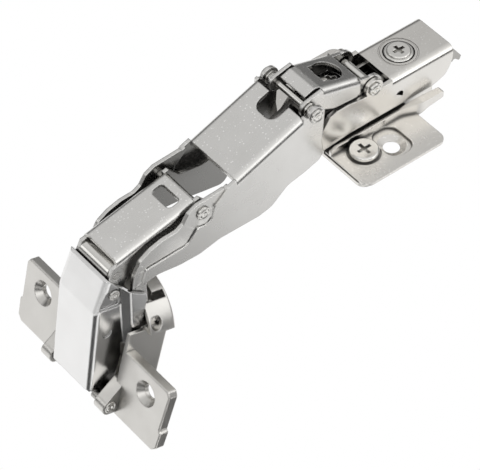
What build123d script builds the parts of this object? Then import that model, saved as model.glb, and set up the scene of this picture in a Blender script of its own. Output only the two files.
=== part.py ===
"""Wide-angle concealed cup hinge on a screw-on mounting plate, modelled fully open.

Frame: X runs from the rear of the arm towards the cup, Y across the hinge, and Z away from the
cabinet panel. The origin lies on the panel face, midway between the two fixing screws of the plate.
Every link is a folded sheet. Side outlines are given as (x, z, corner radius).
"""
import os
from math import cos, radians, sin

from build123d import *

# ---------------------------------------------------------------- pivots (x, z), hinge fully open
EAR_PIVOT = (0.3, 17.6)        # control link on the arm
ROD_PIVOT = (23.8, 23.3)       # control link on the outer link
NOSE_PIVOT = (39.9, 5.6)       # inner link on the arm
SCISSOR_PIVOT = (63.4, 10.1)   # outer link across inner link
CUP_PIVOT = (83.6, -17.2)      # outer link in the cup
TIP_PIVOT = (92.9, -4.5)       # cover link on the inner link
KNUCKLE_PIVOT = (100.5, -40.6) # cover link on the cup

# ---------------------------------------------------------------- sheet metal
LINK_SHEET = 1.2
ARM_SHEET = 1.3
CARRIER_SHEET = 1.0
THIN_SHEET = 1.1
INNER_BEND = 1.0
TIGHT_BEND = 0.6              # where another folded piece sits in the corner
SIDE_GAP = 0.1                 # between the cheeks of neighbouring links
RUNNING_GAP = 0.05             # pin to hole, on the radius
RIVET_GAP = 0.02               # round a rivet in the link that holds it
LOOSE_GAP = 0.3                # round a screw or in an opened pivot

# ---------------------------------------------------------------- half widths, outside of the cheeks
ARM_HALF = 8.2
CORE_HALF = 5.35
CARRIER_HALF = 4.0
INNER_HALF = 7.5
CONTROL_HALF = 7.3
COVER_HALF = INNER_HALF + SIDE_GAP + LINK_SHEET
LEG_HALF = COVER_HALF + SIDE_GAP + LINK_SHEET + 0.05
OUTER_HALF = LEG_HALF + 0.6    # the cheeks step out by the joggle
SHROUD_HALF = LEG_HALF + SIDE_GAP + LINK_SHEET  # the cover link's cheeks step out over the legs

# ---------------------------------------------------------------- pins
ROD_RADIUS = 1.1
PIN_RADIUS = 1.5
HEAD_RADIUS = 2.1
HEAD_HEIGHT = 0.5
TIP_HEAD = 1.75
RECESS_STEP = 0.35             # each step of the recess round the tip rivet
STAY_RADIUS = 2.8
STAY_SPIGOT = 1.2
COLLAR_RADIUS = 2.2
ROD_HEAD = 2.25

# ---------------------------------------------------------------- mounting plate
BASE_SHEET = 1.2
PLATE_SHEET = 0.8
PLATE_TOP = BASE_SHEET + PLATE_SHEET
WING_FRONT = 17.2
WING_REAR = -13.2
WING_REACH = 24.8
FIXING_PITCH = 32.0
FIXING_HOLE = 5.0
FIXING_SINK = 8.6
SINK_DEPTH = 0.75
RAIL_HALF = 6.6
RAIL_TOP = 5.2
RAIL_REAR = -23.5
BEAD_INNER = ARM_HALF + 0.25
BEAD_HALF = 0.5
BEAD_TOP = 4.4
GUIDE_OUTER = BEAD_INNER + 3.6
GUIDE_TOP = 5.7
HEIGHT_CAM = (8.6, 14.0)
CAM_THROW = 2.2
CAM_PIN = 1.3
CAM_NECK = CAM_THROW + CAM_PIN + 0.2
CAM_HEAD = 4.4
CAM_HEAD_TOP = 3.7
CAM_RECESS = 0.35              # the head sits this deep in the upper plate
CAM_SLACK = 0.25

# ---------------------------------------------------------------- arm
BOX_TOP = 16.5
BOX_REAR = -29.5
BOX_FRONT = -6.5
ARM_BOTTOM = 5.5
CORE_TOP = 15.1
CORE_REAR = -25.6
CORE_FRONT = 20.0
CARRIER_FLOOR = RAIL_TOP + 0.1
CARRIER_TOP = 13.4
CARRIER_REAR = -28.6
CARRIER_FRONT = 14.0
REAR_AXLE = (-23.4, 9.4)
DEPTH_SCREW_X = -15.7
DEPTH_HEAD = 4.4
DEPTH_CROWN = 3.6
DEPTH_HEAD_TOP = BOX_TOP + 1.0
DEPTH_THROW = 1.8
DEPTH_PIN = 1.1
DEPTH_NECK = DEPTH_THROW + DEPTH_PIN + 0.1
DIMPLE_RADIUS = 5.9
SIDE_SCREW_X = 9.8
SIDE_HEAD = 3.4
SIDE_HEAD_TOP = 20.8
SCREW_SHANK = 2.0
RECESS_ARM = 0.55              # half width of a cross recess
RECESS_REACH = 1.9
RECESS_DEPTH = 1.1
LEVER_HALF = 5.0

# ---------------------------------------------------------------- cup, in its own frame (t, y, n)
OPENING_ANGLE = 75.0           # front face of the cup from the panel normal
CUP_ORIGIN = (95.0, -30.2)     # screw line on the front face of the flange
CUP_RADIUS = 17.5
CUP_CENTRE = -6.0              # screw line to cup centre
CUP_DEPTH = 11.25              # below the door face
FLANGE_SHEET = 3.0
CUP_WALL = 1.1
CUP_FLOOR = 1.0
CHEEK_HALF = 13.2
SCREW_PITCH = 48.0
SCREW_HOLE = 4.5
SCREW_SINK = 8.0
FLANGE_TOP = -6.8
FLANGE_END = 15.4
FLANGE_REACH = 33.0
FLANGE_ROUND = 0.5
KNUCKLE_RADIUS = 2.6
KNUCKLE_INNER = LEG_HALF + 0.3
KNUCKLE_OUTER = 14.6
RIM_DROP = 9.5
WALL_RIM = 5.3


# ================================================================ helpers
def outline(*corners):
    """Face in the side plane from (x, z, corner radius) rows."""
    points = [(x, z) for x, z, _ in corners]
    radii = [radius for _, _, radius in corners]
    return make_face(FilletPolyline(*points, radius=radii, close=True))


def disc(centre, radius):
    """Round face about a pivot in the side plane."""
    return Pos(*centre) * Circle(radius)


def slab(face, low, high):
    """Extrude a side outline across the hinge, from y = low to y = high."""
    plane = Plane(origin=(0, high, 0), x_dir=(1, 0, 0), z_dir=(0, -1, 0))
    return extrude(plane * face, amount=high - low)


def cheeks(face, inner, outer):
    """The same outline on both sides of the hinge."""
    return slab(face, inner, outer) + slab(face, -outer, -inner)


def near(pivot, *rows):
    """Outline rows given as offsets from a pivot: (dx, dz, corner radius)."""
    return [(pivot[0] + dx, pivot[1] + dz, radius) for dx, dz, radius in rows]


def pin(centre, radius, half_length):
    """Round pin across the hinge."""
    return slab(disc(centre, radius), -half_length, half_length)


def headed_pin(centre, radius, half_length, head_radius=HEAD_RADIUS, head_height=HEAD_HEIGHT):
    """Pin with a domed rivet head at each end."""
    body = pin(centre, radius, half_length)
    for side in (-1, 1):
        plane = Plane(origin=(centre[0], side * half_length, centre[1]), x_dir=(1, 0, 0), z_dir=(0, side, 0))
        head = extrude(plane * Circle(head_radius), amount=head_height)
        rim = head.faces().sort_by(Axis.Y)[-1 if side > 0 else 0].edges()
        body += fillet(rim, head_height * 0.8)
    return body


def shifted(point, dx, dz):
    """A pivot moved within the side plane."""
    return (point[0] + dx, point[1] + dz)


def web_zone(web, back):
    """Area behind a web, as far as its two end points reach."""
    away = Vector(*back).normalized() * 60
    first = Vector(*web[0][:2]) + away
    last = Vector(*web[-1][:2]) + away
    return outline(*web, (last.X, last.Y, 0), (first.X, first.Y, 0))


def fold(web, back, half_width, sheet, bend):
    """Long U-shaped shell whose web follows the given points, open towards back."""
    reach = 60.0
    first = Vector(*web[0][:2])
    last = Vector(*web[-1][:2])
    start = first + (first - Vector(*web[1][:2])).normalized() * reach
    end = last + (last - Vector(*web[-2][:2])).normalized() * reach
    region = web_zone([(start.X, start.Y, 0), *web[1:-1], (end.X, end.Y, 0)], back)
    shell = None
    for inset in (0, sheet):
        face = offset(region, -inset, kind=Kind.INTERSECTION) if inset else region
        half = half_width - inset
        block = slab(face, -half, half)
        chosen = [edge for edge in block.edges()
                  if abs(abs((edge @ 0.5).Y) - half) < 1e-4 and on_web(edge, web, inset)]
        block = fillet(chosen, sheet + bend - inset)
        shell = shell - block if shell else block
    return shell


def on_web(edge, web, inset):
    """Whether an edge runs along the web, at the given depth below its outer face."""
    spine = Polyline(*[(x, z) for x, z, _ in web])
    middle = edge @ 0.5
    across = (edge @ 0.99) - (edge @ 0.01)
    return abs(across.Y) < 1e-6 and spine.distance_to(Vector(middle.X, middle.Z, 0)) < inset + 1.5


def folded_link(side, web, back, half_width, sheet, bend=INNER_BEND):
    """Folded sheet: web between its end points, cheeks with the side outline."""
    inside = web_zone(web, back)
    beyond = web_zone(web, (-back[0], -back[1]))
    body = fold(web, back, half_width, sheet, bend) & slab(side & inside, -half_width, half_width)
    rest = side - (inside + beyond)
    return body + cheeks(rest, half_width - sheet, half_width) if rest else body


def cross_recess(plane, reach=RECESS_REACH, half=RECESS_ARM, depth=RECESS_DEPTH):
    """Cross-shaped driver recess below a plane that lies on a screw head."""
    cross = Rectangle(2 * reach, 2 * half) + Rectangle(2 * half, 2 * reach)
    return extrude(plane * cross, amount=-depth, taper=8)


# ================================================================ mounting plate
def wing_outline(front, rear, reach):
    """Plan of the cross-shaped plate: a narrow rail with a wing on each side."""
    wing = Pos((front + rear) / 2, 0) * Rectangle(front - rear, 2 * reach)
    return fillet(wing.vertices(), 3.0)


def base_plate():
    """Flat lower plate that is screwed to the cabinet."""
    plan = wing_outline(WING_FRONT, WING_REAR, WING_REACH - 1.2)
    plan += Pos((RAIL_REAR + WING_FRONT) / 2, 0) * Rectangle(WING_FRONT - RAIL_REAR, 2 * RAIL_HALF)
    plate = extrude(plan, amount=BASE_SHEET)
    for side in (-1, 1):
        place = Pos(0, side * FIXING_PITCH / 2, 0)
        plate -= place * Cylinder(FIXING_HOLE / 2, 4 * BASE_SHEET)
        plate -= place * Pos(0, 0, BASE_SHEET - SINK_DEPTH / 2) * Cone(FIXING_HOLE / 2, FIXING_SINK / 2, SINK_DEPTH)
    slot = Pos(HEIGHT_CAM[0] + 0.72 * CAM_THROW, HEIGHT_CAM[1]) * SlotOverall(
        2 * (CAM_PIN + CAM_SLACK) + 1.4, 2 * (CAM_PIN + CAM_SLACK))
    return plate - extrude(slot, amount=BASE_SHEET)


def adjusting_plate():
    """Upper plate with the pressed rail. It slides across the base plate."""
    plan = wing_outline(WING_FRONT - 0.3, WING_REAR - 0.3, WING_REACH)
    plate = Pos(0, 0, BASE_SHEET) * extrude(plan, amount=PLATE_SHEET)
    rail_plan = Pos((RAIL_REAR + WING_FRONT) / 2, 0) * Rectangle(WING_FRONT - RAIL_REAR, 2 * RAIL_HALF)
    rail = Pos(0, 0, BASE_SHEET) * extrude(rail_plan, amount=RAIL_TOP - BASE_SHEET)
    rail = fillet(rail.edges().filter_by(Axis.X).group_by(Axis.Z)[-1], 1.4)
    hollow_plan = Pos((RAIL_REAR + WING_FRONT) / 2, 0) * Rectangle(
        WING_FRONT - RAIL_REAR + 2, 2 * (RAIL_HALF - PLATE_SHEET))
    hollow = extrude(hollow_plan, amount=RAIL_TOP - PLATE_SHEET)
    hollow = fillet(hollow.edges().filter_by(Axis.X).group_by(Axis.Z)[-1], 0.6)
    plate = plate + rail - hollow
    for side in (-1, 1):
        plate += guide_bead(side)
        plate -= fixing_window(side)
    plate -= Pos(*HEIGHT_CAM, 0) * Cylinder(CAM_NECK + RUNNING_GAP, 2 * PLATE_TOP)
    plate -= Pos(*HEIGHT_CAM, PLATE_TOP - CAM_RECESS + 10) * Cylinder(CAM_HEAD + 2 * LOOSE_GAP, 20)
    plate -= Pos(DEPTH_SCREW_X, -0.75 * DEPTH_THROW, RAIL_TOP) * Box(
        2 * (DEPTH_PIN + CAM_SLACK), 2 * DEPTH_PIN + 0.5 * DEPTH_THROW + 2 * CAM_SLACK, 4 * PLATE_SHEET)
    return plate


def guide_bead(side):
    """Raised bead along the arm. Behind the wing it widens and rises into a guide finger."""
    front = WING_FRONT - 0.3
    plan = outline((front, BEAD_INNER, 0), (front, BEAD_INNER + 2 * BEAD_HALF, 0),
                   (-9.5, BEAD_INNER + 2 * BEAD_HALF, 6.0), (-15.2, GUIDE_OUTER, 5.0), (RAIL_REAR, GUIDE_OUTER, 0.8),
                   (RAIL_REAR, GUIDE_OUTER - 2.2, 0.8), (-16.0, BEAD_INNER + 0.9, 5.0), (-9.5, BEAD_INNER, 3.0))
    side_face = outline((front, BASE_SHEET, 0), (front, BEAD_TOP - 0.8, 0.6), (front - 1.9, BEAD_TOP, 1.5),
                        (-9.0, BEAD_TOP, 6.0), (-15.0, GUIDE_TOP, 4.0), (RAIL_REAR, GUIDE_TOP, 1.2),
                        (RAIL_REAR, GUIDE_TOP - 2.2, 0.8), (-17.0, GUIDE_TOP - 3.0, 3.0), (-14.0, BASE_SHEET, 0))
    bead = extrude(plan, amount=GUIDE_TOP + 1) & slab(side_face, 0, 2 * GUIDE_OUTER)
    return bead if side > 0 else mirror(bead, Plane.XZ)


def fixing_window(side):
    """Oblong window in the upper plate over a fixing screw."""
    window = Pos(-0.6, side * (FIXING_PITCH / 2 - 0.5)) * RectangleRounded(9.0, 12.0, 3.8)
    return extrude(Pos(0, 0, BASE_SHEET) * window, amount=PLATE_SHEET + 0.01)


def height_cam():
    """Eccentric screw in the upper plate. Its foot works in a slot of the base plate."""
    x, y = HEIGHT_CAM
    low = BASE_SHEET + RUNNING_GAP
    high = PLATE_TOP - CAM_RECESS + RUNNING_GAP
    foot = Pos(x + CAM_THROW, y, RUNNING_GAP) * extrude(Circle(CAM_PIN), amount=low - RUNNING_GAP)
    neck = Pos(x, y, low) * extrude(Circle(CAM_NECK), amount=high - low)
    head = Pos(x, y, high) * extrude(Circle(CAM_HEAD), amount=CAM_HEAD_TOP - high)
    head = fillet(head.edges().group_by(Axis.Z)[-1], 0.6)
    head -= cross_recess(Plane(origin=(x, y, CAM_HEAD_TOP)), reach=2.3)
    return foot + neck + head


# ================================================================ arm
def arm_carrier():
    """Inner clip channel that slides on the rail and carries the arm."""
    side = outline((CARRIER_REAR, CARRIER_FLOOR, 0), (CARRIER_FRONT, CARRIER_FLOOR, 0), (CARRIER_FRONT, 8.0, 1.0),
                   (4.0, 8.6, 3.0), (-9.0, 12.4, 3.0), (-16.0, CARRIER_TOP, 3.0), (CARRIER_REAR + 1.0, CARRIER_TOP, 3.0),
                   (CARRIER_REAR, 9.0, 1.0))
    web = [(CARRIER_REAR, CARRIER_FLOOR, 0), (CARRIER_FRONT, CARRIER_FLOOR, 0)]
    body = folded_link(side, web, (0, 1), CARRIER_HALF, CARRIER_SHEET)
    body -= Pos(DEPTH_SCREW_X, 0, CARRIER_FLOOR) * Cylinder(DEPTH_NECK + RUNNING_GAP, 3 * CARRIER_SHEET)
    body -= Pos(SIDE_SCREW_X, 0, CARRIER_FLOOR) * Cylinder(SCREW_SHANK + 0.2, 3 * CARRIER_SHEET)
    body -= pin(REAR_AXLE, PIN_RADIUS, 20)
    return body


def rear_axle():
    """Pin that joins the carrier, the arm and the release lever."""
    return pin(REAR_AXLE, PIN_RADIUS, CORE_HALF + 0.2)


def hinge_arm():
    """Outer skin of the arm, a folded box with long cheeks and a round ear on each."""
    side = outline((BOX_REAR, BOX_TOP + 1, 0), (BOX_REAR, BOX_TOP - 2, 0),
                   *near(REAR_AXLE, (-5.9, 2.4, 2.0), (-4.8, -0.3, 1.5), (-3.4, -2.2, 1.5), (-1.5, -3.0, 1.0), (0.2, -3.6, 0.6)),
                   (REAR_AXLE[0] + 1.4, ARM_BOTTOM, 0.5),
                   *near(EAR_PIVOT, (8.7, ARM_BOTTOM - EAR_PIVOT[1], 4.0), (16.0, -12.9, 4.0), (22.1, -13.4, 1.6),
                         (21.7, -8.6, 3.0), (18.3, -4.6, 4.0), (16.3, -1.4, 0.4), (13.7, -0.7, 0.8),
                         (9.1, -0.8, 3.0), (4.1, -1.4, 0.8), (-4.9, -1.2, 0)),
                   (BOX_FRONT, BOX_TOP, 0), (BOX_FRONT, BOX_TOP + 1, 0))
    side += disc(EAR_PIVOT, 3.05)
    web = [(BOX_REAR, BOX_TOP, 0), (BOX_FRONT, BOX_TOP, 0)]
    arm = folded_link(side, web, (0, -1), ARM_HALF, ARM_SHEET)
    top = Pos(DEPTH_SCREW_X, 0, BOX_TOP)
    arm -= top * Cylinder(DEPTH_HEAD + LOOSE_GAP, 4 * ARM_SHEET)
    ring = Circle(DIMPLE_RADIUS) - Circle(DIMPLE_RADIUS - 0.5)
    arm -= Pos(DEPTH_SCREW_X, 0, BOX_TOP - 0.2) * extrude(ring, amount=1)
    arm -= pin(EAR_PIVOT, PIN_RADIUS, 20)
    half_moon = Pos(-9.3, 9.4) * Rot(0, 0, 35) * (Circle(1.5) - Pos(0, -1.2) * Rectangle(4, 2.4))
    arm -= slab(half_moon, -20, 20)
    return arm


def inner_arm():
    """Inner channel of the arm. It reaches forward to the nose pivot."""
    side = outline((CORE_REAR, CORE_TOP + 1, 0), (CORE_REAR, 6.2, 1.5), (CORE_REAR + 5.6, 5.7, 1.0),
                   (CORE_FRONT, 6.8, 1.0), (CORE_FRONT + 2.0, 5.0, 3.0),
                   *near(NOSE_PIVOT, (-9.9, -3.0, 6.0), (0, -3.6, 0), (1.6, 3.5, 0), (-8.9, 5.6, 6.0)),
                   (CORE_FRONT + 1, CORE_TOP - 0.6, 2.0), (CORE_FRONT, CORE_TOP + 1, 0))
    side += disc(NOSE_PIVOT, 3.6)
    web = [(CORE_REAR, CORE_TOP, 0), (CORE_FRONT, CORE_TOP, 0)]
    core = folded_link(side, web, (0, -1), CORE_HALF, LINK_SHEET, TIGHT_BEND)
    core -= Pos(DEPTH_SCREW_X, 0, CORE_TOP) * Cylinder(SCREW_SHANK + 0.6, 4 * LINK_SHEET)
    core -= Pos(SIDE_SCREW_X, 0, CORE_TOP) * Cylinder(SCREW_SHANK + 0.45, 4 * LINK_SHEET)
    core -= Pos(BOX_FRONT + 6.0, 0, CORE_TOP) * Box(12.0, 2 * (CORE_HALF - LINK_SHEET - INNER_BEND), 4 * LINK_SHEET)
    core -= pin(REAR_AXLE, PIN_RADIUS + RUNNING_GAP, 20)
    core -= pin(EAR_PIVOT, PIN_RADIUS, 20)
    core -= pin(NOSE_PIVOT, PIN_RADIUS, 20)
    return core


def ear_rivet():
    """Rivet through the ears of the arm, on which the control link swings."""
    return headed_pin(EAR_PIVOT, PIN_RADIUS, ARM_HALF)


def nose_pin():
    """Pin of the inner link at the nose of the arm."""
    return pin(NOSE_PIVOT, PIN_RADIUS, INNER_HALF + 0.3)


def depth_screw():
    """Eccentric screw for the depth of the door."""
    base = CARRIER_FLOOR + CARRIER_SHEET
    x = DEPTH_SCREW_X
    seat = CORE_TOP + 1.6 * LOOSE_GAP
    rim = DEPTH_HEAD_TOP - 0.6
    shank = Pos(x, 0, base) * extrude(Circle(SCREW_SHANK), amount=seat - base)
    head = Pos(x, 0, seat) * extrude(Circle(DEPTH_HEAD), amount=rim - seat)
    head = fillet(head.edges().group_by(Axis.Z)[-1], 0.5)
    crown = Pos(x, 0, seat) * extrude(Circle(DEPTH_CROWN), amount=DEPTH_HEAD_TOP - seat)
    head += fillet(crown.edges().group_by(Axis.Z)[-1], 0.5)
    head -= cross_recess(Plane(origin=(x, 0, DEPTH_HEAD_TOP)))
    foot = Pos(x, -DEPTH_THROW, RAIL_TOP - PLATE_SHEET) * extrude(
        Circle(DEPTH_PIN), amount=base - RAIL_TOP + PLATE_SHEET)
    neck = Pos(x, 0, CARRIER_FLOOR) * extrude(Circle(DEPTH_NECK), amount=CARRIER_SHEET)
    return shank + head + foot + neck


def side_screw():
    """Screw for the side adjustment. It lifts the front of the arm off the carrier."""
    x = SIDE_SCREW_X
    foot = CARRIER_FLOOR + CARRIER_SHEET + 0.1
    neck = SIDE_HEAD_TOP - 2.4
    shank = Pos(x, 0, foot) * extrude(Circle(SCREW_SHANK), amount=neck - foot)
    head = Pos(x, 0, neck) * extrude(Circle(SIDE_HEAD), amount=SIDE_HEAD_TOP - neck)
    head = fillet(head.edges().group_by(Axis.Z)[-1], 0.4)
    head -= cross_recess(Plane(origin=(x, 0, SIDE_HEAD_TOP)))
    return shank + head


def release_lever():
    """Sprung tongue at the rear that lets the arm off the plate."""
    tab = outline(*near(REAR_AXLE, (-6.4, 2.9, 0), (-9.0, 2.3, 1.2), (-12.4, -2.3, 0.5), (-11.8, -3.9, 0.4),
                        (-9.3, -1.6, 0.8), (-9.0, -3.0, 0.4), (-7.2, -2.2, 1.0), (-6.4, 0.5, 0)))
    hollow = outline(*near(REAR_AXLE, (-6.0, 1.7, 0), (-8.5, 1.2, 0.8), (-12.5, -4.6, 0), (-6.0, -4.6, 0)))
    body = slab(tab, -LEVER_HALF, LEVER_HALF) - slab(hollow, 1.0 - LEVER_HALF, LEVER_HALF - 1.0)
    half = CARRIER_HALF - CARRIER_SHEET - SIDE_GAP
    tongue = outline(*near(REAR_AXLE, (-2.4, 2.8, 0.5), (-6.9, 2.8, 0), (-6.9, 1.7, 0), (-2.4, 1.5, 0.5)))
    body += slab(tongue, -half, half)
    eye = outline(*near(REAR_AXLE, (-3.1, 2.6, 1.0), (1.8, 2.4, 1.5), (2.2, -1.6, 1.5), (-2.0, -1.8, 1.5)))
    body += cheeks(eye, half - 1.0, half)
    body -= pin(REAR_AXLE, PIN_RADIUS + RUNNING_GAP, 20)
    return body


# ================================================================ links
def inner_link():
    """Inner link, from the nose of the arm over the scissor pivot to the cover link."""
    side = outline(*near(SCISSOR_PIVOT, (0.6, 3.9, 0)),
                   *near(TIP_PIVOT, (-1.5, 12.5, 0), (-1.5, 11.1, 0), (2.9, 1.8, 0), (1.3, -3.1, 0), (-2.1, -2.9, 1.5),
                         (-5.0, 2.6, 2.5)),
                   *near(SCISSOR_PIVOT, (9.6, -9.9, 8.0), (-5.4, -11.5, 6.0)),
                   *near(NOSE_PIVOT, (10.7, -8.6, 5.0), (3.5, -9.9, 3.0), (-1.3, -4.0, 0), (-3.7, 2.0, 0), (1.1, 4.2, 2.0),
                         (10.6, 2.2, 5.0)),
                   *near(SCISSOR_PIVOT, (-4.4, -0.9, 3.0), (-0.9, 3.1, 1.0)))
    side += disc(TIP_PIVOT, 3.4) + disc(NOSE_PIVOT, 4.2)
    web = [*near(SCISSOR_PIVOT, (0.6, 2.68, 0)), *near(TIP_PIVOT, (-1.7, 11.15, 0))]
    link = folded_link(side, web, (0, -1), INNER_HALF, LINK_SHEET)
    window = Pos(SCISSOR_PIVOT[0] + 5.1, 0, SCISSOR_PIVOT[1] + 2) * Box(4.2, 8.4, 12)
    link -= fillet(window.edges().filter_by(Axis.Z), 1.4)
    link -= pin(stay_place(), STAY_SPIGOT + RIVET_GAP, 20)
    for pivot in (NOSE_PIVOT, SCISSOR_PIVOT, TIP_PIVOT):
        link -= pin(pivot, PIN_RADIUS + (RUNNING_GAP if pivot is NOSE_PIVOT else RIVET_GAP), 20)
    return link


def stay_place():
    """Centre of the stay under the front end of the inner link's web."""
    return shifted(TIP_PIVOT, -1.7, 5.7)


def tip_stay():
    """Turned stay that keeps the cheeks of the inner link apart at its tip."""
    span = INNER_HALF - LINK_SHEET - RUNNING_GAP
    return pin(stay_place(), STAY_RADIUS, span) + pin(stay_place(), STAY_SPIGOT, INNER_HALF)


def outer_link():
    """Outer link, a wide folded sheet with stepped cheeks that end in two legs."""
    web = [*near(ROD_PIVOT, (4.7, 1.18, 0)), *near(SCISSOR_PIVOT, (-11.4, 5.46, 0))]
    side = outline(*near(ROD_PIVOT, (4.7, 2.7, 0), (3.6, 1.1, 0.5), (1.7, 0, 0), (-2.9, 0, 0), (-2.2, -11.3, 8.0),
                         (-2.8, -15.7, 1.0), (-1.4, -17.9, 2.0), (4.2, -19.7, 3.0), (9.9, -20.9, 4.0), (15.8, -25.7, 4.0)),
                   *near(SCISSOR_PIVOT, (-19.4, -13.5, 4.0), (-5.4, -13.3, 8.0), (1.7, -14.8, 8.0), (8.6, -14.6, 6.0)),
                   *near(CUP_PIVOT, (-3.6, 14.1, 8.0), (1.7, 12.9, 0.8), (0, 18.1, 0.8)),
                   *near(SCISSOR_PIVOT, (5.8, -8.7, 2.0), (2.1, -4.3, 1.5), (-1.2, -5.1, 1.2), (-2.9, -3.7, 1.2),
                         (-3.8, 0.3, 2.0), (-9.6, 5.4, 0.5), (-11.4, 6.4, 0)))
    side += disc(ROD_PIVOT, 2.9)
    link = folded_link(side, web, (0, -1), OUTER_HALF, LINK_SHEET)
    band = outline(*near(SCISSOR_PIVOT, (-10.2, 4.6, 0.5), (1.8, 3.9, 1.0), (4.8, 2.4, 1.0), (6.8, -0.7, 1.5),
                         (9.0, -1.9, 2.0), (13.6, -2.1, 3.0)),
                   *near(CUP_PIVOT, (-2.2, 24.0, 3.0), (1.3, 21.9, 3.0), (3.6, 17.8, 3.0), (4.5, 12.2, 3.0), (4.4, 2.0, 0),
                         (0, 0, 0), (-0.8, 3.6, 0), (-0.3, 11.5, 2.0), (-1.8, 16.9, 1.0)),
                   *near(SCISSOR_PIVOT, (5.2, -10.2, 2.0), (1.9, -5.9, 1.5), (-1.8, -6.5, 1.5), (-4.2, -4.1, 1.5),
                         (-5.0, -0.5, 2.0)))
    band += disc(CUP_PIVOT, 4.3)
    link += cheeks(band, LEG_HALF - LINK_SHEET, LEG_HALF)
    link -= cheeks(band, LEG_HALF - LINK_SHEET - 2, LEG_HALF - LINK_SHEET)
    link -= web_notch()
    link -= pin(ROD_PIVOT, ROD_RADIUS, 20)
    link -= pin(SCISSOR_PIVOT, PIN_RADIUS + RUNNING_GAP, 20)
    link -= pin(CUP_PIVOT, PIN_RADIUS + RUNNING_GAP, 20)
    return link


def web_notch():
    """Cut at the rear edge of the outer link's web that gives a driver room."""
    plan = Pos(ROD_PIVOT[0] + 5.6, 0) * RectangleRounded(10.2, 8.6, 2.8)
    return extrude(Pos(0, 0, ROD_PIVOT[1] - 5.3) * plan, amount=9)


def link_rod():
    """Rod between the ears of the outer link."""
    return headed_pin(ROD_PIVOT, ROD_RADIUS, OUTER_HALF, head_radius=ROD_HEAD)


def rod_collars():
    """Two spool-shaped collars that keep the control link centred on the rod."""
    inner = CONTROL_HALF + SIDE_GAP
    outer = OUTER_HALF - LINK_SHEET
    ring = disc(ROD_PIVOT, COLLAR_RADIUS) - disc(ROD_PIVOT, ROD_RADIUS)
    waist = disc(ROD_PIVOT, COLLAR_RADIUS + 1) - disc(ROD_PIVOT, COLLAR_RADIUS - 0.45)
    third = (outer - inner) / 3
    return cheeks(ring, inner, outer) - cheeks(waist, inner + third, outer - third)


def control_link():
    """Small rear link that steers the outer link from the ears of the arm."""
    web = [*near(EAR_PIVOT, (4.7, 5.55, 0)), *near(ROD_PIVOT, (-5.3, 3.77, 0))]
    side = outline(*near(EAR_PIVOT, (4.7, 6.6, 0), (4.5, -0.2, 1.5), (6.3, -0.3, 1.0)),
                   *near(ROD_PIVOT, (-9.4, -5.4, 4.0), (-3.2, -2.4, 1.0), (-0.6, -2.7, 0), (0.8, 2.7, 0), (-4.9, 3.9, 0.5),
                         (-5.3, 4.9, 0)))
    side += disc(ROD_PIVOT, 2.8)
    link = folded_link(side, web, (0, -1), CONTROL_HALF, THIN_SHEET)
    eye_half = ARM_HALF - ARM_SHEET - 2 * SIDE_GAP
    eye = outline(*near(EAR_PIVOT, (5.7, 4.8, 0.5), (0.9, 3.8, 1.0), (-3.3, 1.0, 0), (-1.9, -3.4, 0), (2.7, -3.2, 0),
                        (5.7, 0.4, 0.5)))
    eye += disc(EAR_PIVOT, 3.7)
    link += cheeks(eye, eye_half - THIN_SHEET, eye_half)
    lip = outline(*near(ROD_PIVOT, (-5.6, 3.7, 0), (-3.4, 4.05, 1.5), (-0.1, 2.8, 0.3), (-0.5, 1.8, 0.3), (-3.6, 2.9, 0.8),
                        (-5.6, 2.5, 0)))
    link += slab(lip, -5.3, 5.3)
    link -= access_window()
    link -= pin(ROD_PIVOT, ROD_RADIUS + RUNNING_GAP, 20)
    link -= slab(disc(EAR_PIVOT, PIN_RADIUS + 2 * LOOSE_GAP), -eye_half - 0.1, eye_half + 0.1)
    return link


def access_window():
    """D-shaped window over the side screw."""
    plan = Pos(SIDE_SCREW_X + 1.5, 0) * Circle(4.3) + Pos(SIDE_SCREW_X + 3.6, 0) * Rectangle(4.0, 7.4)
    return extrude(Pos(0, 0, SIDE_HEAD_TOP + 1.7) * plan, amount=8)


def cover_link():
    """Cover link, the broad plate in front of the cup's mouth, with stepped cheeks."""
    web = [*near(TIP_PIVOT, (2.6, 6.5, 0), (7.0, -3.9, 3.0)), *near(KNUCKLE_PIVOT, (3.2, 3.4, 0))]
    side = outline(*near(TIP_PIVOT, (1.6, 6.5, 0), (3.6, 6.5, 0), (11.1, -3.5, 0)),
                   *near(KNUCKLE_PIVOT, (6.5, 3.4, 0), (1.9, 3.4, 1.0), (1.7, -1.4, 0), (-1.9, -1.6, 0), (-6.2, 4.2, 2.0),
                         (-8.3, 11.0, 6.0)),
                   *near(TIP_PIVOT, (-1.6, -12.0, 8.0), (-1.9, 1.0, 0.5), (-1.0, 2.9, 1.5)))
    side += disc(KNUCKLE_PIVOT, 2.3)
    link = folded_link(side, web, (-1, 0), COVER_HALF, LINK_SHEET, TIGHT_BEND)
    link += cover_shroud()
    link -= tip_recess()
    link -= pin(TIP_PIVOT, PIN_RADIUS + RUNNING_GAP, 20)
    link -= cheeks(disc(shifted(TIP_PIVOT, 3.4, -13.2), 1.4), COVER_HALF - 0.25, COVER_HALF + 1)
    route = [shifted(KNUCKLE_PIVOT, *step) for step in
             ((0, 0), (2.0, -1.5), (3.9, -2.4), (5.4, -2.5), (7.0, -1.5), (7.0, -0.5), (5.0, 0.8), (3.5, 1.0), (1.8, 0.8))]
    sweep = offset(make_face(Polyline(*route, close=True)), PIN_RADIUS + 0.2)
    return link - slab(sweep, -20, 20)


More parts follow.
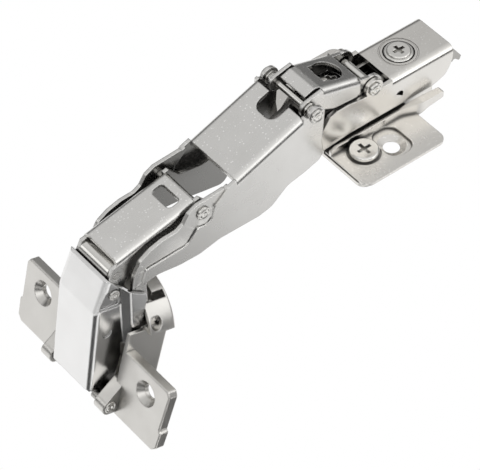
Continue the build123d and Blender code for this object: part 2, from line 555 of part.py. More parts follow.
def cover_shroud():
    """Rear half of the cover link's cheeks. It steps outwards and runs over the legs of the outer link."""
    side = outline(*near(TIP_PIVOT, (-0.6, 3.4, 0), (-3.1, 1.3, 1.5), (-8.8, -3.0, 0.9), (-8.5, -6.0, 3.0),
                         (-6.3, -14.9, 6.0), (-4.4, -22.3, 0.8), (-0.6, -19.4, 0)))
    step = TIP_PIVOT[0] - 1.6
    outside = outline((step + 20, COVER_HALF, 0), (step, COVER_HALF, 1.0), (step - 1.7, SHROUD_HALF, 1.0),
                      (step - 20, SHROUD_HALF, 0), (step - 20, 0, 0), (step + 20, 0, 0))
    inside = outline((step + 21, COVER_HALF - LINK_SHEET, 0), (step - 0.7, COVER_HALF - LINK_SHEET, 1.0),
                     (step - 2.4, SHROUD_HALF - LINK_SHEET, 1.0), (step - 21, SHROUD_HALF - LINK_SHEET, 0),
                     (step - 21, -1, 0), (step + 21, -1, 0))
    height = 60
    joggle = Pos(0, 0, TIP_PIVOT[1] - height / 2) * extrude(outside - inside, amount=height)
    near_side = slab(side, 0, SHROUD_HALF + 1) & joggle
    return near_side + mirror(near_side, Plane.XZ)


def tip_recess():
    """Two-step recess round the tip rivet in each cheek of the cover link."""
    depth = RECESS_STEP
    rim = outline(*near(TIP_PIVOT, (5.9, -3.1, 0.8), (2.3, 3.6, 2.5), (-1.7, 2.6, 0.8), (-1.7, -5.0, 1.0)))
    floor = offset(rim, -0.8) + disc(TIP_PIVOT, TIP_HEAD + RUNNING_GAP)
    return cheeks(rim, COVER_HALF - depth, COVER_HALF + 1) + cheeks(floor, COVER_HALF - 2 * depth, COVER_HALF)


# ================================================================ cup
def cup_plane():
    """Plane of the cup: x along t towards the free side of the door, z along its front normal n."""
    lean = radians(OPENING_ANGLE)
    return Plane(origin=(CUP_ORIGIN[0], 0, CUP_ORIGIN[1]), x_dir=(cos(lean), 0, -sin(lean)),
                 z_dir=(sin(lean), 0, cos(lean)))


def in_cup(pivot):
    """A pivot's (t, n) in the cup's frame."""
    lean = radians(OPENING_ANGLE)
    dx, dz = pivot[0] - CUP_ORIGIN[0], pivot[1] - CUP_ORIGIN[1]
    return (dx * cos(lean) - dz * sin(lean), dx * sin(lean) + dz * cos(lean))


def flange_plan():
    """Plan of the cup's flange with its two screw ears."""
    reach = FLANGE_REACH
    half = outline((FLANGE_TOP, 0, 0), (FLANGE_TOP, reach - 1.0, 0.8), (-5.2, reach, 0.9), (7.4, reach - 0.8, 1.0),
                   (8.0, reach, 0.5), (13.8, reach - 0.5, 1.2), (FLANGE_END, reach - 2.2, 1.0), (FLANGE_END, 0, 0))
    return half + mirror(half, Plane.XZ)


def hinge_cup():
    """Die-cast cup with its flange, side slots for the legs and two knuckles."""
    bottom = -FLANGE_SHEET - CUP_DEPTH
    flange = extrude(Pos(0, 0, -FLANGE_SHEET) * flange_plan(), amount=FLANGE_SHEET)
    flange = fillet(flange.edges().group_by(Axis.Z)[-1], FLANGE_ROUND)
    bowl_plan = Pos(CUP_CENTRE, 0) * Circle(CUP_RADIUS)
    bowl_plan &= Pos(CUP_CENTRE, 0) * Rectangle(3 * CUP_RADIUS, 2 * CHEEK_HALF) + \
        Pos(CUP_CENTRE - CUP_RADIUS, 0) * Rectangle(2 * 10.6, 4 * CUP_RADIUS)
    bowl = extrude(Pos(0, 0, bottom) * bowl_plan, amount=-bottom)
    bowl = fillet(bowl.edges().group_by(Axis.Z)[0], 0.8)
    body = flange + bowl
    pocket_plan = offset(bowl_plan, -CUP_WALL)
    body -= extrude(Pos(0, 0, bottom + CUP_FLOOR) * pocket_plan, amount=30)
    open_side = Pos(CUP_CENTRE - 30 - 6.9, 0, 15 - WALL_RIM) * Box(60, 60, 30)
    body -= open_side - Pos(FLANGE_TOP + 30, 0, 0) * Box(60, 80, 60)
    body -= Pos(CUP_CENTRE - CUP_RADIUS, 0, 15 - RIM_DROP) * Box(20, 2 * (LEG_HALF + 0.2), 30)
    across = Plane(origin=(0, 0, 0), x_dir=(1, 0, 0), z_dir=(0, -1, 0))
    link_path = make_face(Polyline((3.0, 1.0), (13.6, 1.0), (13.2, -0.5), (11.1, -5.0), (8.8, -8.6), (3.0, -8.8), close=True))
    for side in (-1, 1):
        slot_middle = side * (LEG_HALF - LINK_SHEET / 2 - 0.2)
        slot_half = LINK_SHEET / 2 + 0.4
        body -= Pos(CUP_CENTRE - CUP_RADIUS, slot_middle, 15 + bottom + CUP_FLOOR) * Box(20, 2 * slot_half, 30)
        body -= Pos(6.9, slot_middle, 15 - 8.4) * Box(6.0, 2 * slot_half, 30)
        body -= across_slab(across, link_path, side, INNER_HALF - LINK_SHEET - 0.15, INNER_HALF + 0.15)
    t_pin, n_pin = in_cup(KNUCKLE_PIVOT)
    knuckle = Pos(t_pin, n_pin) * Circle(KNUCKLE_RADIUS) + make_face(
        Polyline((t_pin - KNUCKLE_RADIUS, -1), (t_pin - KNUCKLE_RADIUS, n_pin), (t_pin + KNUCKLE_RADIUS, n_pin),
                 (t_pin + KNUCKLE_RADIUS, -1), close=True))
    gusset = make_face(Polyline((3.9, -0.5), (t_pin - 1.7, n_pin + 1.9), (t_pin, n_pin), (t_pin, -0.5), close=True))
    for side in (-1, 1):
        body += across_slab(across, knuckle, side, KNUCKLE_INNER, KNUCKLE_OUTER)
        body += across_slab(across, gusset, side, KNUCKLE_INNER, KNUCKLE_OUTER)
        place = Pos(0, side * SCREW_PITCH / 2, 0)
        body -= place * Cylinder(SCREW_HOLE / 2, 4 * FLANGE_SHEET)
        depth = (SCREW_SINK - SCREW_HOLE) / 2
        body -= place * Pos(0, 0, -depth / 2) * Cone(SCREW_HOLE / 2, SCREW_SINK / 2, depth)
    body -= Pos(7.6, 0, 0) * Box(12.4, 2 * (COVER_HALF + 0.25), 3.4)
    body = cup_plane() * body
    body -= pin(CUP_PIVOT, PIN_RADIUS, 20)
    body -= cheeks(disc(CUP_PIVOT, PIN_RADIUS + 0.4), CHEEK_HALF + 0.2, 20)
    body -= pin(KNUCKLE_PIVOT, PIN_RADIUS, 20)
    return body


def across_slab(plane, face, side, inner, outer):
    """Extrude a (t, n) outline across the cup, on one side."""
    low, high = (inner, outer) if side > 0 else (-outer, -inner)
    return Pos(0, high, 0) * extrude(plane * face, amount=high - low)


def cup_pin():
    """Pin that holds the legs of the outer link in the cup."""
    return pin(CUP_PIVOT, PIN_RADIUS, CHEEK_HALF + 0.15)


def knuckle_pins():
    """Two short pins of the cover link, one in each knuckle of the cup."""
    return cheeks(disc(KNUCKLE_PIVOT, PIN_RADIUS), INNER_HALF + SIDE_GAP, KNUCKLE_OUTER + 0.1)


def build_all():
    """All pieces by node name."""
    return {
        "base_plate": base_plate(),
        "adjusting_plate": adjusting_plate(),
        "height_cam_screw": height_cam(),
        "arm_carrier": arm_carrier(),
        "rear_axle": rear_axle(),
        "hinge_arm": hinge_arm(),
        "inner_arm": inner_arm(),
        "ear_rivet": ear_rivet(),
        "nose_pin": nose_pin(),
        "depth_screw": depth_screw(),
        "side_screw": side_screw(),
        "release_lever": release_lever(),
        "inner_link": inner_link(),
        "scissor_rivet": headed_pin(SCISSOR_PIVOT, PIN_RADIUS, LEG_HALF),
        "tip_rivet": headed_pin(TIP_PIVOT, PIN_RADIUS, COVER_HALF - 2 * RECESS_STEP, head_radius=TIP_HEAD),
        "tip_sleeve": tip_stay(),
        "outer_link": outer_link(),
        "link_rod": link_rod(),
        "rod_collars": rod_collars(),
        "control_link": control_link(),
        "cover_link": cover_link(),
        "hinge_cup": hinge_cup(),
        "cup_pin": cup_pin(),
        "knuckle_pins": knuckle_pins(),
    }


os.makedirs("parts", exist_ok=True)
for name, solid in build_all().items():
    export_step(solid, f"parts/{name}.step")
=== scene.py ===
"""Looks of the concealed cup hinge: plated finishes, trimmed links, rivet caps and the studio.

The CAD pieces keep their shapes and get their finishes. Three folded links are replaced by copies
with trimmed cheeks, and turned caps close the ends of the rivets. Floor, cards, surroundings, lamps
and camera make up the studio.
"""

import logging
import math
from dataclasses import dataclass, replace
from enum import Enum
import bmesh
import bpy
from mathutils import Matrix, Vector


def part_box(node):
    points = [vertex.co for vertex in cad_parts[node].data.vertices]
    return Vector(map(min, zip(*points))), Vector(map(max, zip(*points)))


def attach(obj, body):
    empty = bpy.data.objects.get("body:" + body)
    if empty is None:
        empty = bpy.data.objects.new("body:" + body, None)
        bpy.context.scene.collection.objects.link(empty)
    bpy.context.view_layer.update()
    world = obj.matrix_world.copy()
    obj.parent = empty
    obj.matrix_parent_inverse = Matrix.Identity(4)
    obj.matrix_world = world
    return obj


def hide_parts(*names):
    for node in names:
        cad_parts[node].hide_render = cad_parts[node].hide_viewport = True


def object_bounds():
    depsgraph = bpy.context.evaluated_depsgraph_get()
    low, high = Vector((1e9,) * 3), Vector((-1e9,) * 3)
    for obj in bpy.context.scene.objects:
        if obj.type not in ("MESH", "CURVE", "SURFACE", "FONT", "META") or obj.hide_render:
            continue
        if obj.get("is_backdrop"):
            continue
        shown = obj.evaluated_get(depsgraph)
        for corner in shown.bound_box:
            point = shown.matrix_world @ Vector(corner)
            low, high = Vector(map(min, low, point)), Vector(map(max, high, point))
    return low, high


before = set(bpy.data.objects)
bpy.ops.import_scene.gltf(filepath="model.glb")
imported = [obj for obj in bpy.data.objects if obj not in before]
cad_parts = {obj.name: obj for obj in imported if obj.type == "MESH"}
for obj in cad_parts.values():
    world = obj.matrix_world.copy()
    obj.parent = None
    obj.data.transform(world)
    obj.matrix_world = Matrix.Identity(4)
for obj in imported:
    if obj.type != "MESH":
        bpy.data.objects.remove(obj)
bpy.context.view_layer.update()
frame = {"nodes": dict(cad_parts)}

LOG = logging.getLogger("cup_hinge")
MM = 0.001
HINGE_MIDDLE = (0.04, 0.0, 0.0)

Colour = tuple[float, float, float]
Opaque = tuple[float, float, float, float]
Place = tuple[float, float, float]
Ramp = tuple[tuple[float, float], ...]
Socket = bpy.types.NodeSocket

WHITE: Opaque = (1.0, 1.0, 1.0, 1.0)
PLAIN_GLOW = 1.0


class Axis(Enum):
    """Axis of a vector."""

    X = "X"
    Y = "Y"
    Z = "Z"


class Layout(Enum):
    """Coordinates that a pattern is laid out on."""

    OWN = "Object"
    FACING = "Normal"
    SHARE = "Generated"


class Joining(Enum):
    """Way in which two values become one."""

    PRODUCT = "MULTIPLY"
    LARGER = "MAXIMUM"


def opaque(colour: Colour, level: float = 1.0) -> Opaque:
    """The colour at a brightness level, with full alpha."""
    return (*[channel * level for channel in colour], 1.0)


def place_mesh(name: str, mesh: bpy.types.Mesh) -> bpy.types.Object:
    """Put a mesh into the scene.

    Args:
        name: name of the new object.
        mesh: its mesh.

    Returns:
        The object.
    """
    thing = bpy.data.objects.new(name, mesh)
    bpy.context.scene.collection.objects.link(thing)
    return thing


@dataclass(frozen=True)
class Graph:
    """Node tree of a material or of the surroundings.

    Attributes:
        nodes: its nodes.
        links: its links.
    """

    nodes: bpy.types.Nodes
    links: bpy.types.NodeLinks

    @classmethod
    def of(cls, owner: bpy.types.Material | bpy.types.World) -> "Graph":
        """Open the node tree of a material or a world.

        Args:
            owner: whose nodes are used.

        Returns:
            Its graph.
        """
        owner.use_nodes = True
        return cls(owner.node_tree.nodes, owner.node_tree.links)

    def feed(self, socket: Socket, value: Socket | Opaque) -> None:
        """Link a value to a socket, or type it in.

        Args:
            socket: the input.
            value: another node's output, or a plain value.
        """
        if isinstance(value, bpy.types.NodeSocket):
            self.links.new(value, socket)
        else:
            socket.default_value = value

    def coordinates(self, layout: Layout) -> Socket:
        """Texture coordinates of one layout."""
        return self.nodes.new("ShaderNodeTexCoord").outputs[layout.value]

    def along(self, vector: Socket, axis: Axis) -> Socket:
        """Take one component of a vector.

        Args:
            vector: the vector.
            axis: which one.

        Returns:
            The component.
        """
        split = self.nodes.new("ShaderNodeSeparateXYZ")
        self.links.new(vector, split.inputs["Vector"])
        return split.outputs[axis.value]

    def noise(self, place: Socket, scale: float, detail: float) -> Socket:
        """Add a noise texture.

        Args:
            place: coordinates to read.
            scale: features per metre.
            detail: octaves.

        Returns:
            The noise value.
        """
        noise = self.nodes.new("ShaderNodeTexNoise")
        noise.inputs["Scale"].default_value = scale
        noise.inputs["Detail"].default_value = detail
        self.links.new(place, noise.inputs["Vector"])
        return noise.outputs["Fac"]

    def remap(self, value: Socket, low: float = 0.0, high: float = 1.0, to_low: float = 0.0,
              to_high: float = 1.0, smooth: bool = False) -> Socket:
        """Map one range of values to another.

        Args:
            value: what is mapped.
            low: the value that gives to_low.
            high: the value that gives to_high.
            to_low: result at low.
            to_high: result at high.
            smooth: whether the range has soft ends.

        Returns:
            The mapped value.
        """
        mapping = self.nodes.new("ShaderNodeMapRange")
        if smooth:
            mapping.interpolation_type = "SMOOTHSTEP"
        mapping.inputs["From Min"].default_value = low
        mapping.inputs["From Max"].default_value = high
        mapping.inputs["To Min"].default_value = to_low
        mapping.inputs["To Max"].default_value = to_high
        self.links.new(value, mapping.inputs["Value"])
        return mapping.outputs["Result"]

    def combine(self, joining: Joining, first: Socket, second: Socket) -> Socket:
        """Combine two values.

        Args:
            joining: how they become one.
            first: one value.
            second: the other.

        Returns:
            The result.
        """
        both = self.nodes.new("ShaderNodeMath")
        both.operation = joining.value
        self.links.new(first, both.inputs[0])
        self.links.new(second, both.inputs[1])
        return both.outputs["Value"]

    def mix(self, share: Socket, first: Socket | Opaque, second: Socket | Opaque) -> Socket:
        """Blend two colours.

        Args:
            share: share of the second one.
            first: colour at 0.
            second: colour at 1.

        Returns:
            The blend.
        """
        blend = self.nodes.new("ShaderNodeMix")
        blend.data_type = "RGBA"
        self.links.new(share, blend.inputs["Factor"])
        self.feed(blend.inputs["A"], first)
        self.feed(blend.inputs["B"], second)
        return blend.outputs["Result"]

    def ramp(self, value: Socket, stops: Ramp) -> Socket:
        """Turn a value from 0 to 1 into a grey.

        Args:
            value: what is looked up.
            stops: place and brightness of each stop, in order.

        Returns:
            The grey.
        """
        ramp = self.nodes.new("ShaderNodeValToRGB")
        first, last = ramp.color_ramp.elements
        first.position, first.color = stops[0][0], (*[stops[0][1]] * 3, 1.0)
        last.position, last.color = stops[-1][0], (*[stops[-1][1]] * 3, 1.0)
        for position, level in stops[1:-1]:
            ramp.color_ramp.elements.new(position).color = (level, level, level, 1.0)
        self.links.new(value, ramp.inputs["Fac"])
        return ramp.outputs["Color"]


class Grain(Enum):
    """How the metal under the plating is worked, with the scale of its fine grain per metre."""

    ROLLED = 1600.0
    POLISHED = 2600.0
    CAST = 1100.0


@dataclass(frozen=True)
class PlatedFinish:
    """One plated metal finish.

    Attributes:
        name: name of the material.
        colour: reflectance of the clean plating.
        dull_colour: reflectance where the plating is thinner, and the base of the painted shade.
        roughness: middle value of the gloss map.
        spread: how far the gloss varies.
        grain: how the surface under the plating is worked.
        grain_depth: strength of the fine bump.
        speck_share: radius of the painted glints, small bright specks, as a share of their spacing.
        edge_mm: radius of the worn edges.
        shade_mm: how far a deep gap paints shade into the plating's colour.
        shade_low: open share at which a deep gap is fully dark.
        shade_high: open share at which it is fully bright.
        seam_mm: how far a seam paints shade into its colour.
        seam_low: open share at which a seam is fully dark.
        seam_high: open share at which it is fully bright.
        shade_level: share of the colour that the painted shade leaves in the deepest crevice.
        inner_shade_level: share of the colour that the painted shade leaves on the inner faces of
            the cheeks, which face each other.
        inner_shade_mm: distances from the middle plane between which the painted shade sets in on
            the inner faces.
        cloud_scale: clouds of thinner plating per metre.
        cloud_detail: octaves of the clouds.
        grain_detail: octaves of the grain.
        grain_mm: height of the grain.
        speck_scale: specks per metre.
        speck_core: share of a speck's radius within which it is fully bright.
        speck_colour: colour of the specks.
        speck_slope: upward part of the face's direction between which the painted glints set in.
        edge_samples: samples of the worn edges.
        shelter_samples: samples of the painted crevice shade.
    """

    name: str
    colour: Colour
    dull_colour: Colour
    roughness: float
    spread: float
    grain: Grain
    grain_depth: float
    speck_share: float = 0.0
    edge_mm: float = 0.45
    shade_mm: float = 13.0
    shade_low: float = 0.1
    shade_high: float = 0.7
    seam_mm: float = 1.0
    seam_low: float = 0.2
    seam_high: float = 0.9
    shade_level: float = 0.16
    inner_shade_level: float = 1.0
    inner_shade_mm: tuple[float, float] = (1.0, 3.0)
    cloud_scale: float = 140.0
    cloud_detail: float = 4.0
    grain_detail: float = 6.0
    grain_mm: float = 0.02
    speck_scale: float = 900.0
    speck_core: float = 0.5
    speck_colour: Colour = (0.98, 0.97, 0.95)
    speck_slope: tuple[float, float] = (0.75, 0.9)
    edge_samples: int = 4
    shelter_samples: int = 8

    def material(self) -> bpy.types.Material:
        """Build the node material.

        Returns:
            The finished material.
        """
        material = bpy.data.materials.new(self.name)
        graph = Graph.of(material)
        shader = graph.nodes["Principled BSDF"]
        shader.inputs["Metallic"].default_value = 1.0
        place = graph.coordinates(Layout.OWN)

        cloud = graph.noise(place, self.cloud_scale, self.cloud_detail)
        colour = graph.mix(cloud, opaque(self.colour), opaque(self.dull_colour))
        # Painted glints: bright specks on the upper faces.
        if self.speck_share > 0.0:
            colour = self._painted_glints(graph, place, colour)
        # Painted shade on the cheeks' inner faces.
        if self.inner_shade_level < 1.0:
            colour = self._shade_inner_faces(graph, place, colour)
        # Painted shade in the gaps and seams between the pieces.
        graph.links.new(self._painted_crevice_shade(graph, colour), shader.inputs["Base Color"])

        gloss = graph.remap(cloud, to_low=self.roughness - self.spread,
                            to_high=self.roughness + self.spread)
        graph.links.new(gloss, shader.inputs["Roughness"])
        graph.links.new(self._relief(graph, place), shader.inputs["Normal"])
        return material

    def _relief(self, graph: Graph, place: Socket) -> Socket:
        """Worn edges and the fine grain.

        Args:
            graph: nodes of the material.
            place: coordinates to read.

        Returns:
            The direction of the surface.
        """
        edge = graph.nodes.new("ShaderNodeBevel")
        edge.samples = self.edge_samples
        edge.inputs["Radius"].default_value = self.edge_mm * MM
        bump = graph.nodes.new("ShaderNodeBump")
        bump.inputs["Strength"].default_value = self.grain_depth
        bump.inputs["Distance"].default_value = self.grain_mm * MM
        fine = graph.noise(place, self.grain.value, self.grain_detail)
        graph.links.new(fine, bump.inputs["Height"])
        graph.links.new(edge.outputs["Normal"], bump.inputs["Normal"])
        return bump.outputs["Normal"]

    def _shade_inner_faces(self, graph: Graph, place: Socket, colour: Socket) -> Socket:
        """Paint shade on the cheeks' inner faces, which point at the middle plane and at each
        other.

        Args:
            graph: nodes of the material.
            place: coordinates to read.
            colour: colour of the outer faces.

        Returns:
            The colour of both.
        """
        inward = graph.nodes.new("ShaderNodeVectorMath")
        inward.operation = "MULTIPLY"
        graph.links.new(graph.coordinates(Layout.FACING), inward.inputs[0])
        graph.links.new(place, inward.inputs[1])
        near, far = self.inner_shade_mm
        share = graph.remap(graph.along(inward.outputs["Vector"], Axis.Y), -near * MM, -far * MM)
        return graph.mix(share, colour, opaque(self.dull_colour, self.inner_shade_level))

    def _painted_crevice_shade(self, graph: Graph, colour: Socket) -> Socket:
        """Paint shade into the plating's colour in the gaps and seams between the pieces, where
        less light reaches.

        Args:
            graph: nodes of the material.
            colour: colour in the open.

        Returns:
            The darkened colour.
        """
        gap = self._open_share(graph, self.shade_mm, self.shade_low, self.shade_high)
        seam = self._open_share(graph, self.seam_mm, self.seam_low, self.seam_high)
        open_share = graph.combine(Joining.PRODUCT, gap, seam)
        return graph.mix(open_share, opaque(self.dull_colour, self.shade_level), colour)

    def _open_share(self, graph: Graph, reach_mm: float, low: float, high: float) -> Socket:
        """How open the surface lies, from 0 in a crevice to 1.

        Args:
            graph: nodes of the material.
            reach_mm: how far other faces count.
            low: open share that gives 0.
            high: open share that gives 1.

        Returns:
            The openness.
        """
        shelter = graph.nodes.new("ShaderNodeAmbientOcclusion")
        shelter.samples = self.shelter_samples
        shelter.inputs["Distance"].default_value = reach_mm * MM
        return graph.remap(shelter.outputs["AO"], low, high, smooth=True)

    def _painted_glints(self, graph: Graph, place: Socket, colour: Socket) -> Socket:
        """Paint glints: small bright specks on the upper faces, which face the bright light
        overhead.

        Args:
            graph: nodes of the material.
            place: coordinates to read.
            colour: colour below the specks.

        Returns:
            The speckled colour.
        """
        dots = graph.nodes.new("ShaderNodeTexVoronoi")
        dots.inputs["Scale"].default_value = self.speck_scale
        graph.links.new(place, dots.inputs["Vector"])
        level = graph.remap(dots.outputs["Distance"], self.speck_share,
                            self.speck_share * self.speck_core)
        facing = graph.coordinates(Layout.FACING)
        upward = graph.remap(graph.along(facing, Axis.Z), *self.speck_slope)
        share = graph.combine(Joining.PRODUCT, level, upward)
        return graph.mix(share, colour, opaque(self.speck_colour))


SATIN_SHEET = PlatedFinish(
    "satin_nickel_sheet", (0.80, 0.79, 0.77), (0.71, 0.70, 0.675), roughness=0.27, spread=0.05,
    grain=Grain.ROLLED, grain_depth=0.35, speck_share=0.24, inner_shade_level=0.42)
PLATE_SHEET = PlatedFinish(
    "satin_nickel_plate", (0.82, 0.80, 0.765), (0.74, 0.72, 0.685), roughness=0.26, spread=0.05,
    grain=Grain.ROLLED, grain_depth=0.35, speck_share=0.2, edge_mm=0.25, shade_mm=5.0,
    seam_mm=1.8, seam_low=0.35, seam_high=0.95, inner_shade_level=0.6)
# Copy of the plate finish with weaker painted shade, for the arm.
ARM_SHEET = replace(
    PLATE_SHEET, name="satin_nickel_arm", shade_mm=3.0, seam_mm=0.5, seam_low=0.15, seam_high=0.8)
# Copy of the satin sheet with weaker painted shade, for the inner link.
LESS_SHADED_SHEET = replace(
    SATIN_SHEET, name="satin_nickel_less_shade", shade_mm=1.2, seam_mm=0.3, shade_level=0.4)
BRIGHT_SHEET = PlatedFinish(
    "bright_nickel_sheet", (0.89, 0.885, 0.88), (0.82, 0.815, 0.805), roughness=0.22, spread=0.04,
    grain=Grain.POLISHED, grain_depth=0.15, inner_shade_level=0.5)
BRIGHT_STEEL = PlatedFinish(
    "bright_nickel_turned", (0.86, 0.845, 0.81), (0.72, 0.71, 0.68), roughness=0.16, spread=0.05,
    grain=Grain.POLISHED, grain_depth=0.12, edge_mm=0.3, shade_mm=2.0, seam_mm=0.6,
    shade_level=0.36)
CAST_NICKEL = PlatedFinish(
    "cast_nickel", (0.72, 0.705, 0.675), (0.63, 0.615, 0.585), roughness=0.32, spread=0.06,
    grain=Grain.CAST, grain_depth=0.5, shade_mm=8.0, shade_level=0.26)
# Painted shade: a darker copy of the plated steel for the pieces that lie inside others.
SHADED_STEEL = PlatedFinish(
    "shaded_steel", (0.50, 0.49, 0.47), (0.40, 0.39, 0.37), roughness=0.30, spread=0.06,
    grain=Grain.ROLLED, grain_depth=0.3)


def dress(nodes: dict[str, bpy.types.Object], names: tuple[str, ...],
          material: bpy.types.Material) -> None:
    """Give CAD nodes a material.

    Args:
        nodes: CAD objects by node name.
        names: the nodes to dress.
        material: what they get.
    """
    for name in names:
        mesh = nodes[name].data
        mesh.materials.clear()
        mesh.materials.append(material)
        LOG.info("%s: %s", name, material.name)


@dataclass(frozen=True)
class TrimmedLink:
    """Folded link whose cheeks are trimmed flush with the line of the web past both of its ends.

    Attributes:
        node: the CAD node that it stands for, and the name of its body.
        rear: rear end of the web's outer face, x and z in mm.
        front: its front end.
        rear_trim_mm: how far the rear trim runs.
        front_trim_mm: how far the front trim runs.
        finish: its finish.
        tip_drop_mm: how far the cheeks drop below the web just past its front end.
        tip_overlap_mm: how far that cut runs back over the web.
        trim_overlap_mm: how far the other cuts run back over it.
        trim_rise_mm: how far they stay above its outer face.
        trim_height_mm: how high above it they reach.
        half_width_mm: half the width that the trim crosses.
        weld_mm: distance below which two corners become one.
        crease_degrees: angle above which two faces meet in an edge.
    """

    node: str
    rear: tuple[float, float]
    front: tuple[float, float]
    rear_trim_mm: float
    front_trim_mm: float
    finish: PlatedFinish = SATIN_SHEET
    tip_drop_mm: float = 0.0
    tip_overlap_mm: float = 0.3
    trim_overlap_mm: float = 0.4
    trim_rise_mm: float = 0.02
    trim_height_mm: float = 4.0
    half_width_mm: float = 13.0
    weld_mm: float = 0.0005
    crease_degrees: float = 11.0

    def build(self, source: bpy.types.Object, material: bpy.types.Material) -> None:
        """Make the trimmed link.

        Args:
            source: the CAD object.
            material: material of the link.
        """
        link = place_mesh(f"{self.node}_trimmed", self._welded(source))
        cutters = self._cutters()
        for cutter in cutters:
            trim = link.modifiers.new("trim", "BOOLEAN")
            trim.operation = "DIFFERENCE"
            trim.solver = "EXACT"
            trim.object = cutter
        depsgraph = bpy.context.evaluated_depsgraph_get()
        trimmed = bpy.data.meshes.new_from_object(link.evaluated_get(depsgraph))
        link.modifiers.clear()
        link.data = trimmed
        for cutter in cutters:
            bpy.data.objects.remove(cutter)
        trimmed.polygons.foreach_set("use_smooth", [True] * len(trimmed.polygons))
        trimmed.set_sharp_from_angle(angle=math.radians(self.crease_degrees))
        even = link.modifiers.new("even_shading", "WEIGHTED_NORMAL")
        even.keep_sharp = True
        trimmed.materials.clear()
        trimmed.materials.append(material)
        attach(link, self.node)
        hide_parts(self.node)
        LOG.info("%s trimmed: %d faces", self.node, len(trimmed.polygons))

    def _welded(self, source: bpy.types.Object) -> bpy.types.Mesh:
        """Copy the CAD mesh with its faces joined at their corners.

        Args:
            source: the CAD object.

        Returns:
            The joined copy.
        """
        shape = bmesh.new()
        shape.from_mesh(source.data)
        bmesh.ops.remove_doubles(shape, verts=shape.verts, dist=self.weld_mm * MM)
        mesh = bpy.data.meshes.new(f"{self.node}_trimmed")
        shape.to_mesh(mesh)
        shape.free()
        return mesh

    def _cutters(self) -> list[bpy.types.Object]:
        """Make the blocks that trim both ends and, where the tip drops, the tip.

        Returns:
            The blocks.
        """
        overlap, rise = self.trim_overlap_mm, self.trim_rise_mm
        cutters = [self._cutter(self.rear, self.front, self.rear_trim_mm, overlap, rise),
                   self._cutter(self.front, self.rear, self.front_trim_mm, overlap, rise)]
        if self.tip_drop_mm:
            cutters.append(self._cutter(self.front, self.rear, self.tip_drop_mm,
                                        self.tip_overlap_mm, -self.tip_drop_mm))
        return cutters

    def _cutter(self, end: tuple[float, float], other: tuple[float, float], reach_mm: float,
                overlap_mm: float, rise_mm: float) -> bpy.types.Object:
        """Make the block along the line of the web, past one of its ends.

        Args:
            end: the end of the web, x and z in mm.
            other: its other end.
            reach_mm: how far the block runs past the end.
            overlap_mm: how far it runs back over the web.
            rise_mm: how far its underside lies above the line of the web.

        Returns:
            The block.
        """
        along = (Vector(end) - Vector(other)).normalized()
        up = Vector((0.0, 1.0))
        inner = Vector(end) - along * overlap_mm + up * rise_mm
        outer = Vector(end) + along * reach_mm + up * rise_mm
        top = up * self.trim_height_mm
        points = [(corner.x * MM, side * self.half_width_mm * MM, corner.y * MM)
                  for side in (-1, 1) for corner in (inner, outer, outer + top, inner + top)]
        faces = [(0, 1, 2, 3), (7, 6, 5, 4), (0, 4, 5, 1), (1, 5, 6, 2), (2, 6, 7, 3), (3, 7, 4, 0)]
        shape = bmesh.new()
        corners = [shape.verts.new(point) for point in points]
        for face in faces:
            shape.faces.new([corners[index] for index in face])
        bmesh.ops.recalc_face_normals(shape, faces=shape.faces)
        mesh = bpy.data.meshes.new("trim_block")
        shape.to_mesh(mesh)
        shape.free()
        return place_mesh("trim_block", mesh)


@dataclass(frozen=True)
class RivetCap:
    """Riveted end face: a rim, a groove and a punched centre, turned about the rivet's own axis.

    Attributes:
        node: the rivet that it closes.
        body: the body that it rides on.
        radius_mm: radius of its rim, or 0 for that of the rivet's head.
        segments: sides of its circle.
        profile: share of the radius and height in mm of each ring, from the rim inwards.
    """

    node: str
    body: str
    radius_mm: float = 0.0
    segments: int = 64
    profile: tuple[tuple[float, float], ...] = (
        (1.0, -0.05), (1.0, 0.06), (0.95, 0.15), (0.86, 0.19), (0.78, 0.18), (0.74, 0.05),
        (0.66, 0.04), (0.61, 0.16), (0.5, 0.22), (0.3, 0.23), (0.22, 0.12), (0.0, 0.09))

    def build(self, material: bpy.types.Material) -> None:
        """Make the caps at both ends of the rivet.

        Args:
            material: material of the caps.
        """
        low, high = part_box(self.node)
        radius = self.radius_mm * MM or (high[0] - low[0]) / 2
        points: list[Place] = []
        faces: list[tuple[int, ...]] = []
        for side, end in ((-1, low[1]), (1, high[1])):
            middle = ((low[0] + high[0]) / 2, end, (low[2] + high[2]) / 2)
            faces += self._faces(len(points), side)
            points += self._points(middle, radius, side)
        mesh = bpy.data.meshes.new(f"{self.node}_caps")
        mesh.from_pydata(points, [], faces)
        mesh.polygons.foreach_set("use_smooth", [True] * len(faces))
        mesh.materials.append(material)
        caps = place_mesh(f"{self.node}_caps", mesh)
        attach(caps, self.body)
        LOG.info("%s caps: %d faces", self.node, len(faces))

    def _points(self, middle: Place, radius: float, side: int) -> list[Place]:
        """Corners of one cap, ring by ring.

        Args:
            middle: centre of the rivet's end face, in metres.
            radius: radius of the rim, in metres.
            side: -1 or 1, the way in which the cap faces along y.

        Returns:
            The corners.
        """
        angles = [2 * math.pi * step / self.segments for step in range(self.segments)]
        return [(middle[0] + share * radius * math.cos(angle), middle[1] + side * rise * MM,
                 middle[2] + share * radius * math.sin(angle))
                for share, rise in self.profile for angle in angles]

    def _faces(self, start: int, side: int) -> list[tuple[int, ...]]:
        """Faces of one cap.

        Args:
            start: number of its first corner.
            side: -1 or 1, the way in which the cap faces along y.

        Returns:
            The faces.
        """
        faces = []
        for ring in range(len(self.profile) - 1):
            first = start + ring * self.segments
            for step in range(self.segments):
                near, far = first + step, first + (step + 1) % self.segments
                quad = (near, far, far + self.segments, near + self.segments)
                faces.append(quad if side < 0 else quad[::-1])
        return faces


